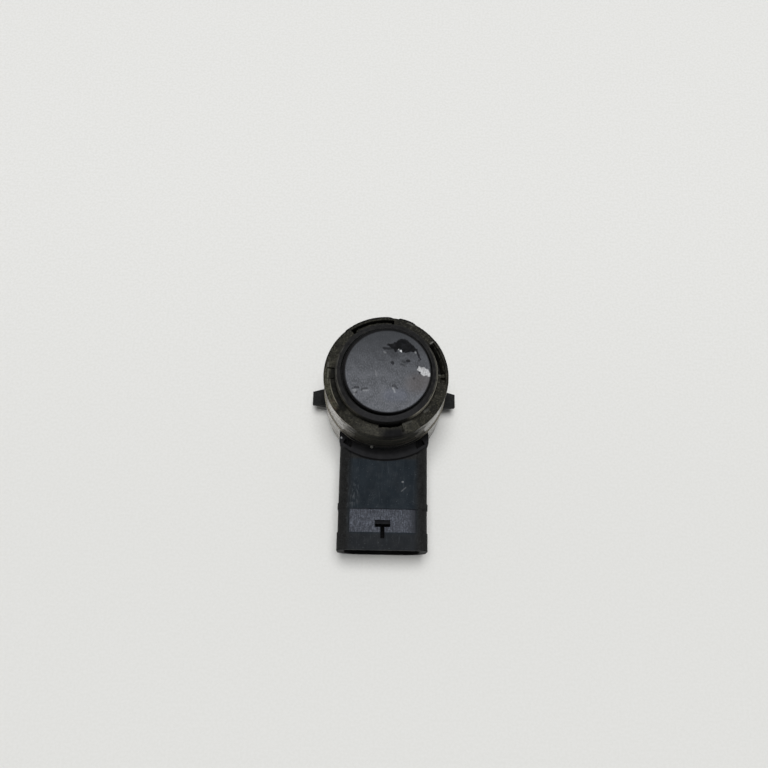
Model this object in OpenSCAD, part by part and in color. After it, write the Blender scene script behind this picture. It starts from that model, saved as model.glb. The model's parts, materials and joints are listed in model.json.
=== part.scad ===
// Round ultrasonic parking sensor with a connector at its side.
// Millimetres. The origin is on the head axis at the back face, +Z points out of the sensing face,
// and the connector points along -Y.

/* [Barrel] */
// Outer diameter of the barrel
barrel_d = 23.4; // [22.9:0.05:26]
// Height of the barrel from the back face to the joint with the front ring
barrel_h = 12; // [11.4:0.1:16]
// Wall of the barrel
barrel_wall = 1.45; // [1:0.05:1.8]
// Chamfer along the outer edges of the barrel
barrel_chamfer = 0.35; // [0.1:0.05:0.8]
// Height of the spigot that carries the front ring
spigot_h = 2.4; // [1.5:0.1:3]
// Wall of the spigot
spigot_wall = 1.2; // [0.8:0.05:1.6]
// Height of the ledge that stops the circuit board
ledge_h = 0.8; // [0.5:0.05:1]
// Reach of the ledge into the chamber
ledge_w = 1.1; // [0.6:0.05:1.4]

/* [Front ring] */
// Outer diameter of the front ring, a little under the barrel's
ring_d = 22.85; // [22.3:0.05:23.1]
// Height of the front ring
ring_h = 8.5; // [7.6:0.1:11]
// Wall of the skirt that slides over the spigot
skirt_wall = 1; // [0.7:0.05:1.2]
// Wall of the lip outside the pockets
lip_wall = 0.6; // [0.5:0.05:1.1]
// Plastic left under each pocket
pocket_floor = 1; // [0.6:0.05:1.8]
// Number of arc pockets
pocket_count = 4; // [2:1:6]
// Angle that one pocket covers
pocket_span = 45; // [20:1:52]
// Angle of the first pocket's middle from +X
pocket_turn = 15; // [-45:1:45]
// Chamfer along the top edge of the lip
lip_chamfer = 0.3; // [0.1:0.05:0.45]
// Chamfer along the joint with the barrel
joint_chamfer = 0.1; // [0.05:0.05:0.4]

/* [Sensing cup] */
// Outer diameter of the cup
cup_d = 15.8; // [14:0.1:16.4]
// Wall of the cup
cup_wall = 1; // [0.7:0.05:1.4]
// Thickness of the sensing face
face_t = 0.7; // [0.4:0.05:1.2]
// Rounding of the edge of the face
face_edge_r = 0.25; // [0.1:0.05:0.5]
// Height of the face above the front ring
face_proud = 3.5; // [2:0.1:5]

/* [Decoupling ring] */
// Wall of the soft ring beside the cup
rubber_wall = 1.35; // [0.9:0.05:1.5]
// Height of the flange held between the spigot and the front ring
rubber_flange_h = 2.1; // [1.2:0.1:2.8]
// Thickness of the lip under the cup
rubber_floor = 0.6; // [0.4:0.05:1]
// Reach of that lip past the cup's wall
rubber_lip = 0.6; // [0.3:0.05:1]
// Depth of the ring's inner edge below the face
rubber_drop = 0.85; // [0.3:0.05:1.2]
// Fall of the ring's top from its inner edge to its outer edge
rubber_slope = 0.5; // [0.2:0.05:0.9]
// Chamfer along the ring's outer top edge
rubber_chamfer = 0.2; // [0.05:0.05:0.4]
// Width of the groove round the cup
groove_w = 0.27; // [0.1:0.01:0.5]
// Depth of the groove round the cup
groove_depth = 0.9; // [0.4:0.05:1.5]

/* [Seat flange] */
// Radius of the seat flange's curved edge
flange_r = 13.8; // [13.4:0.05:16]
// Width of the seat flange
flange_w = 16.8; // [15:0.1:18]
// Rounding of the flange's corners
flange_corner_r = 1; // [0.4:0.1:1.6]
// Width of the moat between the barrel and the flange
moat_w = 0.5; // [0.4:0.05:0.9]
// Depth of the moat
moat_depth = 0.8; // [0.4:0.05:1.5]
// Width of the moat's corner pockets
corner_pocket_w = 1; // [0.6:0.05:1.3]
// Depth of the corner pockets
corner_pocket_depth = 2.2; // [1:0.1:3]
// Angle that one corner pocket covers
corner_pocket_span = 8; // [4:1:12]
// Angle from -Y to the middle of a corner pocket
corner_pocket_angle = 32; // [28:1:34]

/* [Connector] */
// Distance from the head axis to the connector's mouth
reach = 30.4; // [28:0.05:36]
// Width of the shroud
shroud_w = 16.6; // [15.4:0.1:16.7]
// Height of the shroud
shroud_h = 11.2; // [10.4:0.1:11.4]
// Height of the shroud's underside above the back face
shroud_lift = 0.2; // [0.16:0.01:0.5]
// Rounding of the shroud's upper long edges
shroud_r = 2.2; // [1.4:0.1:3]
// Rounding of the shroud's lower long edges
shroud_low_r = 4.8; // [2.4:0.1:5.1]
// Side walls of the shroud
side_wall = 1.2; // [0.9:0.05:1.6]
// Top and bottom walls of the shroud
flat_wall = 1; // [0.8:0.05:1.2]
// Rounding of the socket's upper long edges
socket_r = 1; // [0.4:0.1:1.6]
// Depth of the socket
socket_depth = 16.5; // [14:0.1:17]
// Length of the collar at the mouth
collar_l = 3.2; // [2:0.05:4]
// Height of the collar and of the rib above the shroud
collar_step = 0.14; // [0.05:0.01:0.15]
// Length of the rib that ends the grip face
rib_l = 1.1; // [0.5:0.05:2]
// Length of the recess between the rib and the collar
recess_l = 4.3; // [3:0.05:5]
// Width of the recess
recess_w = 12.2; // [9:0.1:13]
// Depth of the recess
recess_depth = 0.4; // [0.2:0.05:0.6]

/* [Latch window] */
// Width of the window's bar
bar_w = 2.85; // [2:0.05:4]
// Length of the window's bar
bar_l = 0.6; // [0.4:0.05:1.4]
// Length of the shallow ledge that widens the bar towards the head
bar_ledge_l = 0.7; // [0.3:0.05:1]
// Depth of that ledge below the recess
bar_ledge_depth = 0.3; // [0.1:0.05:0.35]
// Width of the window's stem
stem_w = 0.8; // [0.4:0.05:1.4]
// Length of the window's stem
stem_l = 2.1; // [1:0.05:2.8]
// Distance from the mouth to the end of the stem
stem_setback = 2.1; // [1.5:0.05:3]

/* [Lugs] */
// Distance from the head axis to a lug's tip
lug_reach = 14.3; // [13:0.1:16]
// Width of a lug at its root in the barrel's wall
lug_root_w = 3.9; // [2.6:0.1:5]
// Width of a lug at its tip
lug_tip_w = 2.6; // [1.6:0.1:3.4]
// Distance by which a lug's root lies further from the connector than its tip
lug_root_shift = 0.3; // [0:0.05:0.5]
// Height of a lug's flat top above the back face
lug_top_z = 4.3; // [3.4:0.1:8]
// Thickness of a lug at its root
lug_root_h = 1.5; // [0.9:0.1:3.2]
// Thickness of a lug at its tip
lug_tip_h = 1; // [0.6:0.1:3]

/* [Terminals] */
// Width and thickness of a terminal
terminal_w = 0.64; // [0.5:0.02:0.8]
// Distance between neighbouring terminals
terminal_pitch = 2.54; // [2:0.01:3.2]
// Length of a terminal inside the socket
terminal_l = 8; // [6:0.1:10]
// Length of the tapered tip
tip_l = 0.8; // [0.4:0.05:1.4]
// Width left at the tip
tip_w = 0.24; // [0.1:0.02:0.4]
// Distance from the board's ledge to the row of terminal tails
tail_y = 1.55; // [1.15:0.05:1.95]
// Length of a pin that stands out below the board
tail_l = 0.6; // [0.3:0.05:1]

/* [Back cover] */
// Thickness of the back cover
cover_t = 1.2; // [0.8:0.05:1.8]
// Width of the step that the cover rests on
cover_step = 0.5; // [0.3:0.05:0.6]
// Diameter of the cover's posts
post_d = 1.6; // [1:0.1:2.4]
// Distance from the head axis to a post
post_r = 8.2; // [7.6:0.1:8.4]
// Chamfer along the weld seam
weld_chamfer = 0.2; // [0.05:0.05:0.3]

/* [Circuit board] */
// Gap between the cover and the board
board_gap = 1.6; // [1.2:0.05:2]
// Thickness of the board
board_t = 1.6; // [0.8:0.1:1.8]
// Gap between the board's edge and the chamber wall
board_clear = 0.2; // [0.1:0.05:0.4]

/* [Transducer inside] */
// Diameter of the piezo disc
piezo_d = 8.5; // [6:0.1:10]
// Thickness of the piezo disc
piezo_t = 0.5; // [0.2:0.05:0.8]
// Height of the contact carrier
carrier_h = 4; // [2.5:0.1:5]
// Diameter of a contact pin
contact_d = 0.7; // [0.4:0.05:1]
// Distance between the contact pins
contact_pitch = 5.08; // [4:0.01:6]
// Distance from the head axis to the row of contact pins
contact_y = 4.9; // [4.4:0.05:5]
// Diameter of a piezo lead
lead_d = 0.3; // [0.2:0.02:0.4]
// Distance from the head axis to the signal lead's joint on the piezo disc
signal_joint_r = 2.4; // [1:0.1:2.6]
// Distance from the head axis to the ground lead's joint on the cup
ground_joint_r = 5.8; // [5.3:0.1:6]

/* [Transformer] */
// Width of the core along X
core_w = 7.2; // [6.4:0.1:7.6]
// Depth of the core along Y
core_d = 5; // [4:0.1:6]
// Height of the core
core_h = 6; // [5:0.1:6.4]
// Thickness of the core's yokes
yoke_t = 1.2; // [0.8:0.05:1.5]
// Thickness of the core's side legs
leg_t = 1.1; // [0.7:0.05:1.3]
// Diameter of the core's middle leg
core_leg_d = 2; // [1.4:0.1:2.4]
// Wall of the bobbin
bobbin_wall = 0.3; // [0.2:0.05:0.5]
// Distance from the head axis to the middle of the transformer, towards the connector
core_y = 0.8; // [0:0.1:1.2]

/* [Board pieces] */
// Side of the signal chip
chip_w = 4; // [3:0.1:4.2]
// Height of the signal chip
chip_h = 0.9; // [0.6:0.05:1.6]
// Offset of the chip and the buffer capacitor, towards the core, from the middle between core and ledge
side_x = 0.175; // [0:0.025:0.25]
// Length of the buffer capacitor
buffer_l = 3.5; // [2.5:0.1:4]
// Width of the buffer capacitor
buffer_w = 2.8; // [2:0.1:3]
// Height of the buffer capacitor
buffer_h = 1.9; // [1:0.1:3]
// Length of the protection diode
diode_l = 2.7; // [1.6:0.1:3]
// Width of the protection diode
diode_w = 1.6; // [1:0.1:1.8]
// Height of the protection diode
diode_h = 1.1; // [0.6:0.1:2]
// Distance from the board's ledge to the middle of the diode
diode_y = 1.65; // [1.45:0.05:2.15]
// Length of a chip capacitor or chip resistor
chip_part_l = 1.6; // [1:0.1:2]
// Width of a chip capacitor or chip resistor
chip_part_w = 0.8; // [0.5:0.05:1]
// Height of a ceramic capacitor
ceramic_h = 0.8; // [0.4:0.05:0.9]
// Height of a chip resistor
resistor_h = 0.45; // [0.3:0.05:0.8]
// Distance from the board's ledge to the middle of an outer chip part
row_inset = 2.55; // [2.4:0.05:2.8]
// Distance between neighbouring chip parts
row_pitch = 2.2; // [2.05:0.05:2.4]
// Distance from the head axis to the ceramic capacitors
ceramic_y = 4.2; // [4:0.05:4.3]
// Distance from the head axis to the chip resistors
resistor_y = 4; // [3.6:0.05:4.05]
// Share of a chip part's length that one end cap covers
end_cap_share = 0.2; // [0.1:0.02:0.3]
// Share of a chip part's height by which its end caps stand proud
end_cap_step = 0.05; // [0.02:0.01:0.1]

/* [Clearances] */
// Radial clearance between plastic pieces that slide together
fit_clear = 0.05; // [0.02:0.01:0.1]
// Clearance round a moulded-in terminal and round the cup in the soft ring
snug_clear = 0.02; // [0.01:0.01:0.05]
// Radial clearance round a pin in a board hole or a lead in the damping pad
hole_clear = 0.1; // [0.05:0.01:0.15]

/* [Hidden] */

$fn = 96;
// Overrun of a cut past the face that it opens
over = 0.1;
// Length of a cut that only has to be long enough
far = 3 * reach;

// Radii of the round pieces
barrel_r = barrel_d / 2;
ring_r = ring_d / 2;
chamber_r = barrel_r - barrel_wall;
skirt_r = ring_r - skirt_wall;
spigot_r = skirt_r - fit_clear;
throat_r = spigot_r - spigot_wall;
cup_r = cup_d / 2;
cup_bore_r = cup_r - cup_wall;
rubber_r = cup_r + rubber_wall;
ring_bore_r = rubber_r + fit_clear;
lip_r = ring_r - lip_wall;
cover_r = chamber_r + cover_step;
board_r = chamber_r - board_clear;
ledge_r = chamber_r - ledge_w;

// Heights of the stacked pieces
board_z = cover_t + board_gap;
board_top = board_z + board_t;
shelf_z = barrel_h - spigot_wall;
spigot_top = barrel_h + spigot_h;
shoulder_z = spigot_top + rubber_flange_h;
ring_top = barrel_h + ring_h;
pocket_z = shoulder_z + pocket_floor;
cup_z = spigot_top + rubber_floor;
face_z = ring_top + face_proud;
membrane_z = face_z - face_t;
piezo_z = membrane_z - piezo_t;
carrier_top = cup_z + carrier_h;

// Connector
shroud_z = shroud_lift + shroud_h / 2;
shroud_top = shroud_lift + shroud_h;
socket_w = shroud_w - 2 * side_wall;
socket_h = shroud_h - 2 * flat_wall;
socket_low_r = shroud_low_r - side_wall;
socket_floor_y = reach - socket_depth;
collar_y = reach - collar_l;
recess_y = collar_y - recess_l;
tip_y = socket_floor_y + terminal_l;
contact_x = contact_pitch / 2;

// Places on the board, measured from the ledge that the board rests against
tail_row = ledge_r - tail_y;
diode_row = ledge_r - diode_y;
chip_x = (core_w / 2 + ledge_r) / 2 - side_x;
row_x = [ledge_r - row_inset - row_pitch, ledge_r - row_inset];

// Points along an arc about a centre, from angle a to angle b
function arc(centre, r, a, b, steps = 24) =
    [for (i = [0:steps]) let (t = a + (b - a) * i / steps) centre + r * [cos(t), sin(t)]];

// A rectangle on the X axis whose two upper corners are round
module rounded_half(w, h, r) {
    translate([-w / 2, 0]) square([w, h - r]);
    translate([r - w / 2, 0]) square([w - 2 * r, h]);
    for (side = [-1, 1])
        translate([side * (w / 2 - r), h - r]) circle(r);
}

// A bar along -Y from start to end with the shroud's cross-section, which is rounder below than above
module connector_bar(start, end, w, h, r, low_r) {
    translate([0, -start, shroud_z])
        rotate([90, 0, 0])
            linear_extrude(end - start) {
                rounded_half(w, h / 2, r);
                mirror([0, 1, 0]) rounded_half(w, h / 2, low_r);
            }
}

// Half of the flange's width, less the rounding of its corners
corner_x = flange_w / 2 - flange_corner_r;
corner_y = sqrt(pow(flange_r - flange_corner_r, 2) - pow(corner_x, 2));
corner_angle = atan2(corner_x, corner_y);

// The flange seen from above: a circle cut to the flange's width, with rounded corners
module flange_plan() {
    polygon(concat(
        [[-flange_w / 2, 0]],
        arc([-corner_x, -corner_y], flange_corner_r, 180, 270 - corner_angle, 8),
        arc([0, 0], flange_r, 270 - corner_angle, 270 + corner_angle, 36),
        arc([corner_x, -corner_y], flange_corner_r, 270 + corner_angle, 360, 8),
        [[flange_w / 2, 0]]
    ));
}

// Part of a ring with a rectangular section
module ring_sector(inner, outer, z, h, middle, span) {
    rotate([0, 0, middle - span / 2])
        rotate_extrude(angle = span)
            translate([inner, z]) square([outer - inner, h]);
}

// The block under the seat flange, with the moat and its corner pockets
module flange_block() {
    difference() {
        translate([0, 0, shroud_lift]) linear_extrude(barrel_h - shroud_lift) flange_plan();
        translate([0, 0, barrel_h - moat_depth]) cylinder(r = barrel_r + moat_w, h = moat_depth + over);
        for (side = [-1, 1])
            ring_sector(
                barrel_r + moat_w - over, barrel_r + moat_w + corner_pocket_w,
                barrel_h - corner_pocket_depth, corner_pocket_depth + over,
                270 + side * corner_pocket_angle, corner_pocket_span
            );
    }
}

// The barrel and spigot as one turned solid
module barrel_solid() {
    rotate_extrude()
        polygon([
            [0, 0],
            [barrel_r - barrel_chamfer, 0],
            [barrel_r, barrel_chamfer],
            [barrel_r, barrel_h - joint_chamfer],
            [barrel_r - joint_chamfer, barrel_h],
            [spigot_r, barrel_h],
            [spigot_r, spigot_top],
            [0, spigot_top],
        ]);
}

// The space inside the barrel: cover seat, board seat, chamber and throat
module barrel_space() {
    rotate_extrude()
        polygon([
            [0, -over],
            [cover_r + fit_clear + weld_chamfer + over, -over],
            [cover_r + fit_clear, weld_chamfer],
            [cover_r + fit_clear, cover_t],
            [chamber_r, cover_t],
            [chamber_r, board_top],
            [ledge_r, board_top],
            [ledge_r, board_top + ledge_h],
            [chamber_r, board_top + ledge_h],
            [chamber_r, shelf_z - (chamber_r - throat_r)],
            [throat_r, shelf_z],
            [throat_r, spigot_top + over],
            [0, spigot_top + over],
        ]);
}

// A latch lug: a wedge seen from the side, cut to a tapered plan
module lug() {
    root = barrel_r - barrel_wall / 2;
    intersection() {
        linear_extrude(lug_top_z)
            polygon([
                [root, lug_root_shift - lug_root_w / 2],
                [lug_reach, -lug_tip_w / 2],
                [lug_reach, lug_tip_w / 2],
                [root, lug_root_shift + lug_root_w / 2],
            ]);
        translate([0, lug_root_shift + lug_root_w / 2, 0])
            rotate([90, 0, 0])
                linear_extrude(lug_root_w)
                    polygon([
                        [root, lug_top_z - lug_root_h],
                        [lug_reach, lug_top_z - lug_tip_h],
                        [lug_reach, lug_top_z],
                        [root, lug_top_z],
                    ]);
    }
}

// The T-shaped latch window through the shroud's top wall, with the ledge beside its bar
module latch_window() {
    stem_y = -reach + stem_setback;
    bar_y = stem_y + stem_l;
    ledge_z = shroud_top - recess_depth - bar_ledge_depth;
    translate([0, 0, shroud_top - flat_wall - over])
        linear_extrude(flat_wall + collar_step + 2 * over) {
            translate([-stem_w / 2, stem_y]) square([stem_w, stem_l + over]);
            translate([-bar_w / 2, bar_y]) square([bar_w, bar_l]);
        }
    translate([-bar_w / 2, bar_y, ledge_z])
        cube([bar_w, bar_l + bar_ledge_l, recess_depth + bar_ledge_depth]);
}

// The shroud outside, with its rib, recess and collar
module shroud_solid() {
    collar_w = shroud_w + 2 * collar_step;
    collar_h = shroud_h + 2 * collar_step;
    collar_r = shroud_r + collar_step;
    collar_low_r = shroud_low_r + collar_step;
    difference() {
        union() {
            connector_bar(barrel_r / 2, reach, shroud_w, shroud_h, shroud_r, shroud_low_r);
            connector_bar(recess_y - rib_l, recess_y, collar_w, collar_h, collar_r, collar_low_r);
            connector_bar(collar_y, reach, collar_w, collar_h, collar_r, collar_low_r);
        }
        translate([-recess_w / 2, -collar_y, shroud_top - recess_depth])
            cube([recess_w, recess_l, recess_depth + over]);
    }
}

module housing() {
    color([0.15, 0.16, 0.18])
        difference() {
            union() {
                flange_block();
                barrel_solid();
                shroud_solid();
                lug();
                mirror([1, 0, 0]) lug();
            }
            barrel_space();
            connector_bar(socket_floor_y, reach + over, socket_w, socket_h, socket_r, socket_low_r);
            latch_window();
            for (x = [-terminal_pitch, 0, terminal_pitch])
                translate([x - terminal_w / 2 - snug_clear, -far, shroud_z - terminal_w / 2 - snug_clear])
                    cube([terminal_w + 2 * snug_clear, far, terminal_w + 2 * snug_clear]);
        }
}

module back_cover() {
    color([0.13, 0.13, 0.14]) {
        rotate_extrude()
            polygon([
                [0, 0],
                [cover_r - weld_chamfer, 0],
                [cover_r, weld_chamfer],
                [cover_r, cover_t],
                [0, cover_t],
            ]);
        for (turn = [90, 210, 330])
            rotate([0, 0, turn])
                translate([post_r, 0, cover_t / 2]) cylinder(d = post_d, h = board_z - cover_t / 2);
    }
}

module front_ring() {
    color([0.2, 0.2, 0.17])
        difference() {
            rotate_extrude()
                polygon([
                    [skirt_r, barrel_h],
                    [ring_r - joint_chamfer, barrel_h],
                    [ring_r, barrel_h + joint_chamfer],
                    [ring_r, ring_top - lip_chamfer],
                    [ring_r - lip_chamfer, ring_top],
                    [ring_bore_r, ring_top],
                    [ring_bore_r, shoulder_z],
                    [skirt_r, shoulder_z],
                ]);
            for (i = [0:pocket_count - 1])
                ring_sector(
                    ring_bore_r - over, lip_r, pocket_z, ring_top - pocket_z + over,
                    pocket_turn + i * 360 / pocket_count, pocket_span
                );
        }
}

module decoupling_ring() {
    inner = cup_r + snug_clear;
    edge_z = face_z - rubber_drop;
    color([0.16, 0.16, 0.16])
        rotate_extrude()
            polygon([
                [cup_bore_r - rubber_lip, spigot_top],
                [spigot_r, spigot_top],
                [spigot_r, shoulder_z],
                [rubber_r, shoulder_z],
                [rubber_r, edge_z - rubber_slope - rubber_chamfer],
                [rubber_r - rubber_chamfer, edge_z - rubber_slope],
                [inner + groove_w, edge_z],
                [inner + groove_w, edge_z - groove_depth],
                [inner, edge_z - groove_depth],
                [inner, cup_z],
                [cup_bore_r - rubber_lip, cup_z],
            ]);
}

module transducer_cup() {
    color([0.36, 0.37, 0.39])
        rotate_extrude()
            polygon(concat(
                [[cup_bore_r, cup_z], [cup_r, cup_z]],
                arc([cup_r - face_edge_r, face_z - face_edge_r], face_edge_r, 0, 90, 6),
                [[0, face_z], [0, membrane_z], [cup_bore_r, membrane_z]]
            ));
}

module piezo_disc() {
    color([0.8, 0.76, 0.66])
        translate([0, 0, piezo_z]) cylinder(d = piezo_d, h = piezo_t);
}

// Each lead runs straight from the top of a contact pin to its joint in the cup
signal_start = [contact_x, contact_y, carrier_top];
signal_end = [signal_joint_r, 0, piezo_z];
ground_start = [-contact_x, contact_y, carrier_top];
ground_end = [-ground_joint_r, 0, membrane_z];

// A straight round lead with its ends cut level
module lead(start, end) {
    run = end - start;
    extra = lead_d * norm(run) / run.z;
    intersection() {
        translate(start)
            rotate([0, acos(run.z / norm(run)), atan2(run.y, run.x)])
                translate([0, 0, -extra]) cylinder(d = lead_d, h = norm(run) + 2 * extra);
        translate([0, 0, start.z]) cylinder(r = cup_bore_r, h = run.z);
    }
}

// The slot in the damping pad that a lead passes through
module lead_slot(start, end) {
    run = [end.x - start.x, end.y - start.y];
    slot_w = lead_d + 2 * hole_clear;
    margin = lead_d + hole_clear;
    translate([start.x, start.y, carrier_top - over])
        rotate([0, 0, atan2(run.y, run.x)])
            translate([-margin, -slot_w / 2, 0])
                cube([norm(run) + 2 * margin, slot_w, piezo_z - carrier_top + 2 * over]);
}

module damping_pad() {
    color([0.3, 0.3, 0.32])
        difference() {
            translate([0, 0, carrier_top])
                cylinder(r = cup_bore_r - fit_clear, h = piezo_z - carrier_top);
            lead_slot(signal_start, signal_end);
            lead_slot(ground_start, ground_end);
        }
}

module contact_carrier() {
    color([0.75, 0.72, 0.62])
        difference() {
            translate([0, 0, cup_z]) cylinder(r = cup_bore_r - fit_clear, h = carrier_h);
            for (side = [-1, 1])
                translate([side * contact_x, contact_y, cup_z - over])
                    cylinder(d = contact_d + 2 * snug_clear, h = carrier_h + 2 * over);
        }
}

// A straight contact pin from the carrier's top through the board
module contact(side) {
    translate([side * contact_x, contact_y, board_z - tail_l])
        cylinder(d = contact_d, h = carrier_top - board_z + tail_l);
}

module signal_contact() {
    color([0.75, 0.75, 0.72]) contact(1);
}

module ground_contact() {
    color([0.75, 0.75, 0.72]) contact(-1);
}

module signal_lead() {
    color([0.7, 0.2, 0.15]) lead(signal_start, signal_end);
}

module ground_lead() {
    color([0.15, 0.15, 0.15]) lead(ground_start, ground_end);
}

module circuit_board() {
    tail_hole_w = terminal_w + 2 * hole_clear;
    color([0.1, 0.3, 0.16])
        difference() {
            translate([0, 0, board_z]) cylinder(r = board_r, h = board_t);
            for (side = [-1, 1])
                translate([side * contact_x, contact_y, board_z - over])
                    cylinder(d = contact_d + 2 * hole_clear, h = board_t + 2 * over);
            for (x = [-terminal_pitch, 0, terminal_pitch])
                translate([x - tail_hole_w / 2, -tail_row - tail_hole_w / 2, board_z - over])
                    cube([tail_hole_w, tail_hole_w, board_t + 2 * over]);
        }
}

// Transformer on the board: a round middle leg and two side legs join the yokes
core_split = board_top + core_h / 2;
window_h = core_h - 2 * yoke_t;
bobbin_r = core_w / 2 - leg_t - fit_clear;
spool_r = core_leg_d / 2 + fit_clear + bobbin_wall;

// One half of the core, standing on z = 0 with its legs up
module core_half() {
    translate([-core_w / 2, -core_d / 2, 0]) cube([core_w, core_d, yoke_t]);
    for (x = [-core_w / 2, core_w / 2 - leg_t])
        translate([x, -core_d / 2, 0]) cube([leg_t, core_d, core_h / 2]);
    cylinder(d = core_leg_d, h = core_h / 2);
}

module core_lower() {
    color([0.24, 0.24, 0.25])
        translate([0, -core_y, board_top]) core_half();
}

module core_upper() {
    color([0.24, 0.24, 0.25])
        translate([0, -core_y, board_top + core_h]) mirror([0, 0, 1]) core_half();
}

module bobbin() {
    low = board_top + yoke_t;
    high = low + window_h;
    inner = core_leg_d / 2 + fit_clear;
    color([0.7, 0.66, 0.5])
        translate([0, -core_y, 0])
            rotate_extrude()
                polygon([
                    [inner, low],
                    [bobbin_r, low],
                    [bobbin_r, low + bobbin_wall],
                    [spool_r, low + bobbin_wall],
                    [spool_r, high - bobbin_wall],
                    [bobbin_r, high - bobbin_wall],
                    [bobbin_r, high],
                    [inner, high],
                ]);
}

module winding() {
    low = board_top + yoke_t + bobbin_wall;
    high = board_top + yoke_t + window_h - bobbin_wall;
    color([0.72, 0.42, 0.2])
        translate([0, -core_y, 0])
            rotate_extrude()
                translate([spool_r + snug_clear, low])
                    square([bobbin_r - spool_r - 2 * fit_clear, high - low]);
}

// A block that stands on the board, with its middle at x, y
module board_block(x, y, l, w, h) {
    translate([x - l / 2, y - w / 2, board_top]) cube([l, w, h]);
}

module signal_chip() {
    color([0.08, 0.08, 0.09]) board_block(chip_x, 0, chip_w, chip_w, chip_h);
}

module buffer_capacitor() {
    color([0.75, 0.55, 0.15]) board_block(-chip_x, 0, buffer_w, buffer_l, buffer_h);
}

module protection_diode() {
    color([0.1, 0.1, 0.11]) board_block(0, diode_row, diode_l, diode_w, diode_h);
}

// A chip part with its two end caps a little proud of the body
module chip_part(x, y, h) {
    cap_l = chip_part_l * end_cap_share;
    cap_step = h * end_cap_step;
    board_block(x, y, chip_part_l - cap_l, chip_part_w - 2 * cap_step, h - cap_step);
    for (side = [-1, 1])
        board_block(x + side * (chip_part_l - cap_l) / 2, y, cap_l, chip_part_w, h);
}

module ceramic_capacitors() {
    color([0.66, 0.56, 0.42])
        for (x = row_x, side = [-1, 1]) chip_part(side * x, -ceramic_y, ceramic_h);
}

module chip_resistors() {
    color([0.12, 0.12, 0.13])
        for (x = row_x, side = [-1, 1]) chip_part(side * x, resistor_y, resistor_h);
}

// An angled terminal: a tapered tip in the socket, a leg down through the board
module terminal(x) {
    half = terminal_w / 2;
    half_tip = tip_w / 2;
    bottom = board_z - tail_l;
    intersection() {
        translate([x - half, 0, 0])
            rotate([90, 0, 90])
                linear_extrude(terminal_w)
                    polygon([
                        [-tip_y, shroud_z - half_tip],
                        [-tip_y + tip_l, shroud_z - half],
                        [-tail_row - half, shroud_z - half],
                        [-tail_row - half, bottom],
                        [-tail_row + half, bottom],
                        [-tail_row + half, shroud_z + half],
                        [-tip_y + tip_l, shroud_z + half],
                        [-tip_y, shroud_z + half_tip],
                    ]);
        translate([x, 0, bottom - over])
            linear_extrude(shroud_z - bottom + terminal_w)
                polygon([
                    [-half_tip, -tip_y],
                    [half_tip, -tip_y],
                    [half, -tip_y + tip_l],
                    [half, 0],
                    [-half, 0],
                    [-half, -tip_y + tip_l],
                ]);
    }
}

module supply_terminal() {
    color([0.78, 0.75, 0.66]) terminal(-terminal_pitch);
}

module data_terminal() {
    color([0.78, 0.75, 0.66]) terminal(0);
}

module ground_terminal() {
    color([0.78, 0.75, 0.66]) terminal(terminal_pitch);
}

housing();
back_cover();
front_ring();
decoupling_ring();
transducer_cup();
piezo_disc();
damping_pad();
contact_carrier();
signal_contact();
ground_contact();
signal_lead();
ground_lead();
circuit_board();
core_lower();
core_upper();
bobbin();
winding();
signal_chip();
buffer_capacitor();
protection_diode();
ceramic_capacitors();
chip_resistors();
supply_terminal();
data_terminal();
ground_terminal();
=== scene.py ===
"""Looks of a used round parking sensor with a side connector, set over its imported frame.

Lengths are in millimetres until a mesh or a node takes them. The row frame is the CAD's: the head's
axis is Z, the sensing face looks up, and the connector points along -Y.
"""

import json
import math

import bmesh
import bpy
import numpy as np
from mathutils import Matrix, Vector, noise


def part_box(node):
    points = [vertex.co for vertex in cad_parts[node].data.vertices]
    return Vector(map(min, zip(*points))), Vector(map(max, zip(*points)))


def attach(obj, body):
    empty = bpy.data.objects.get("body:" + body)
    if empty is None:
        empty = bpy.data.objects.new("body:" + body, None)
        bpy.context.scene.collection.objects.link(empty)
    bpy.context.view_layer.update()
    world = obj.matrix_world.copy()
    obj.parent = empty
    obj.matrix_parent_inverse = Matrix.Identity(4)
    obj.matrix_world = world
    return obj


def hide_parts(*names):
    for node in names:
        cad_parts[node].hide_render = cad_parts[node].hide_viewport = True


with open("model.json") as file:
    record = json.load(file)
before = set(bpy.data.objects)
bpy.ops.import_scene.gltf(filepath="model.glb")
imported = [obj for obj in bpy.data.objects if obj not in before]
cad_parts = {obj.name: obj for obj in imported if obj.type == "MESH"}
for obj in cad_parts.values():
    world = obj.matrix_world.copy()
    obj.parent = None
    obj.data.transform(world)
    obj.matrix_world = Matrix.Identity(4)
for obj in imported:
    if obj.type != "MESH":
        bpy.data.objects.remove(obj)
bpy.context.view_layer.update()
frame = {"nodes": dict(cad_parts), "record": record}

# One millimetre in the frame's metres
MM = 0.001


def span(node):
    """Lowest and highest corner of a CAD node, in millimetres."""
    low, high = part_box(node)
    return low / MM, high / MM


# Sizes read from the frame
cup_low, cup_high = span("transducer_cup")
ring_low, ring_high = span("front_ring")
rubber_low, rubber_high = span("decoupling_ring")
housing_low = span("housing")[0]
cup_r = cup_high.x
face_z = cup_high.z
ring_r = ring_high.x
ring_z = ring_low.z
ring_top = ring_high.z
rubber_flange_r = rubber_high.x
rubber_z = rubber_low.z
rubber_top = rubber_high.z
reach = -housing_low.y

# The material slot of each CAD node
slot_of = {part["node"]: part["material_slot"] for part in frame["record"]["subparts"]}

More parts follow.
